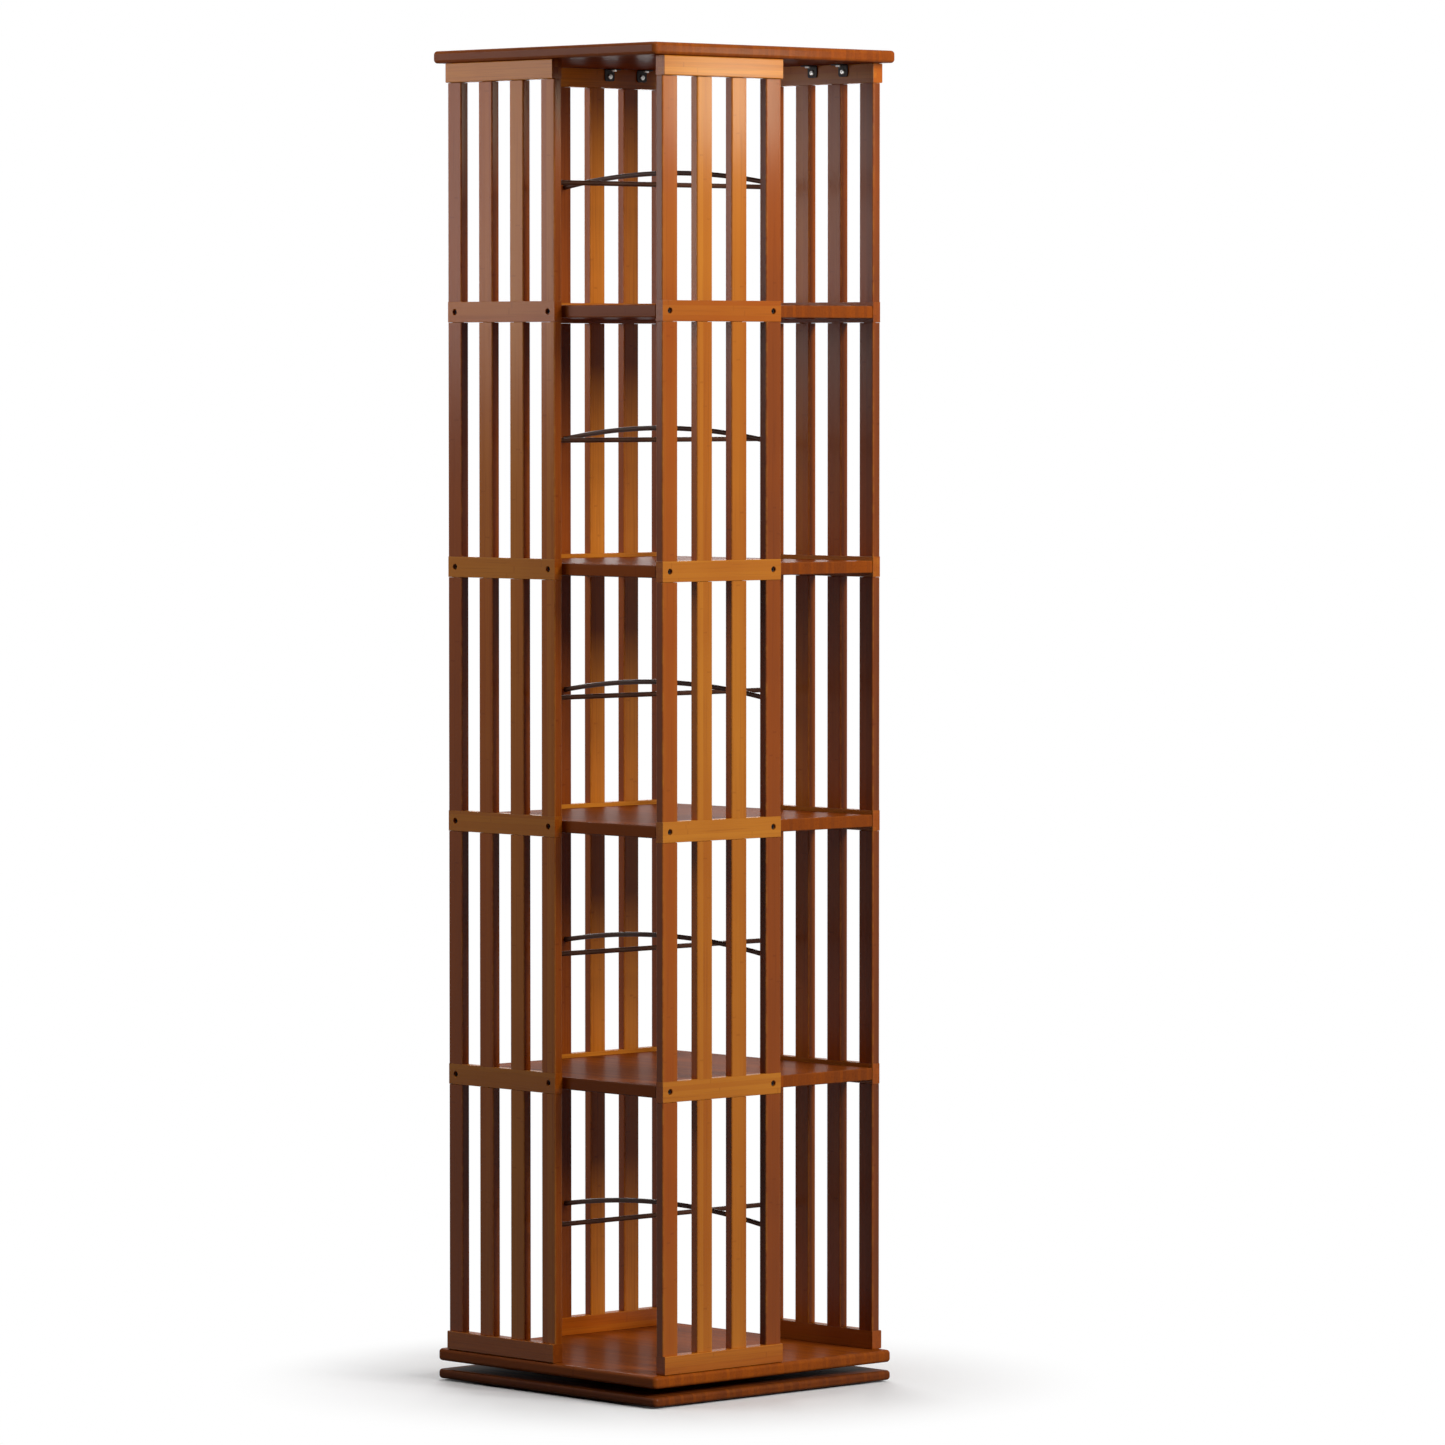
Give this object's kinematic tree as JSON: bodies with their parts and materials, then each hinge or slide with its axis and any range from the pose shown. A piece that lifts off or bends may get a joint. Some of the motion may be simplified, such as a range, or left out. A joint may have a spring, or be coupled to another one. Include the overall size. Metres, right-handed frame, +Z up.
{
  "type": "rotating display rack",
  "caption": "Tall see-through bamboo book and display tower with slatted pinwheel sides, turning endlessly on a ball-bearing turntable.",
  "frame": {"origin": "on the floor, on the vertical axis that the tower turns about", "axes": "+Z up along the turning axis, -Y out of the front side, +X out of the right side"},
  "size_m": [0.4, 0.4, 1.625],
  "materials": {
    "bamboo": "reddish-brown stain under satin lacquer",
    "rod_lacquer": "dark brown lacquer",
    "steel": "zinc plated",
    "black_steel": "black coating",
    "rubber": "matt"
  },
  "bodies": {
    "base": {"base_board": "bamboo", "anti_slip_pad_1": "rubber", "anti_slip_pad_2": "rubber", "anti_slip_pad_3": "rubber", "anti_slip_pad_4": "rubber", "turntable_lower_plate": "steel"},
    "cage": {"ball_cage": "steel"},
    "tower": {"arched_rod_1": "rod_lacquer", "arched_rod_2": "rod_lacquer", "arched_rod_3": "rod_lacquer", "arched_rod_4": "rod_lacquer", "arched_rod_5": "rod_lacquer", "back_bracket_1": "black_steel", "back_bracket_2": "black_steel", "back_grille_1": "bamboo", "back_grille_2": "bamboo", "back_grille_3": "bamboo", "back_grille_4": "bamboo", "back_grille_5": "bamboo", "back_top_rail": "bamboo", "front_bracket_1": "black_steel", "front_bracket_2": "black_steel", "front_grille_1": "bamboo", "front_grille_2": "bamboo", "front_grille_3": "bamboo", "front_grille_4": "bamboo", "front_grille_5": "bamboo", "front_top_rail": "bamboo", "left_bracket_1": "black_steel", "left_bracket_2": "black_steel", "left_grille_1": "bamboo", "left_grille_2": "bamboo", "left_grille_3": "bamboo", "left_grille_4": "bamboo", "left_grille_5": "bamboo", "left_top_rail": "bamboo", "right_bracket_1": "black_steel", "right_bracket_2": "black_steel", "right_grille_1": "bamboo", "right_grille_2": "bamboo", "right_grille_3": "bamboo", "right_grille_4": "bamboo", "right_grille_5": "bamboo", "right_top_rail": "bamboo", "rotating_board": "bamboo", "shelf_1": "bamboo", "shelf_2": "bamboo", "shelf_3": "bamboo", "shelf_4": "bamboo", "straight_rod_1": "rod_lacquer", "straight_rod_2": "rod_lacquer", "straight_rod_3": "rod_lacquer", "straight_rod_4": "rod_lacquer", "straight_rod_5": "rod_lacquer", "top_board": "bamboo", "turntable_upper_plate": "steel"}
  },
  "joints": [
    {"name": "tower_spin", "type": "hinge", "parent": "base", "child": "tower", "pos_m": [0, 0, 0.019], "axis": [0, 0, 1], "continuous": true},
    {"name": "cage_roll", "type": "hinge", "parent": "base", "child": "cage", "pos_m": [0, 0, 0.019], "axis": [0, 0, 1], "continuous": true}
  ],
  "couplings": [
    {"joint": "cage_roll", "follows": "tower_spin", "ratio": 0.5}
  ]
}
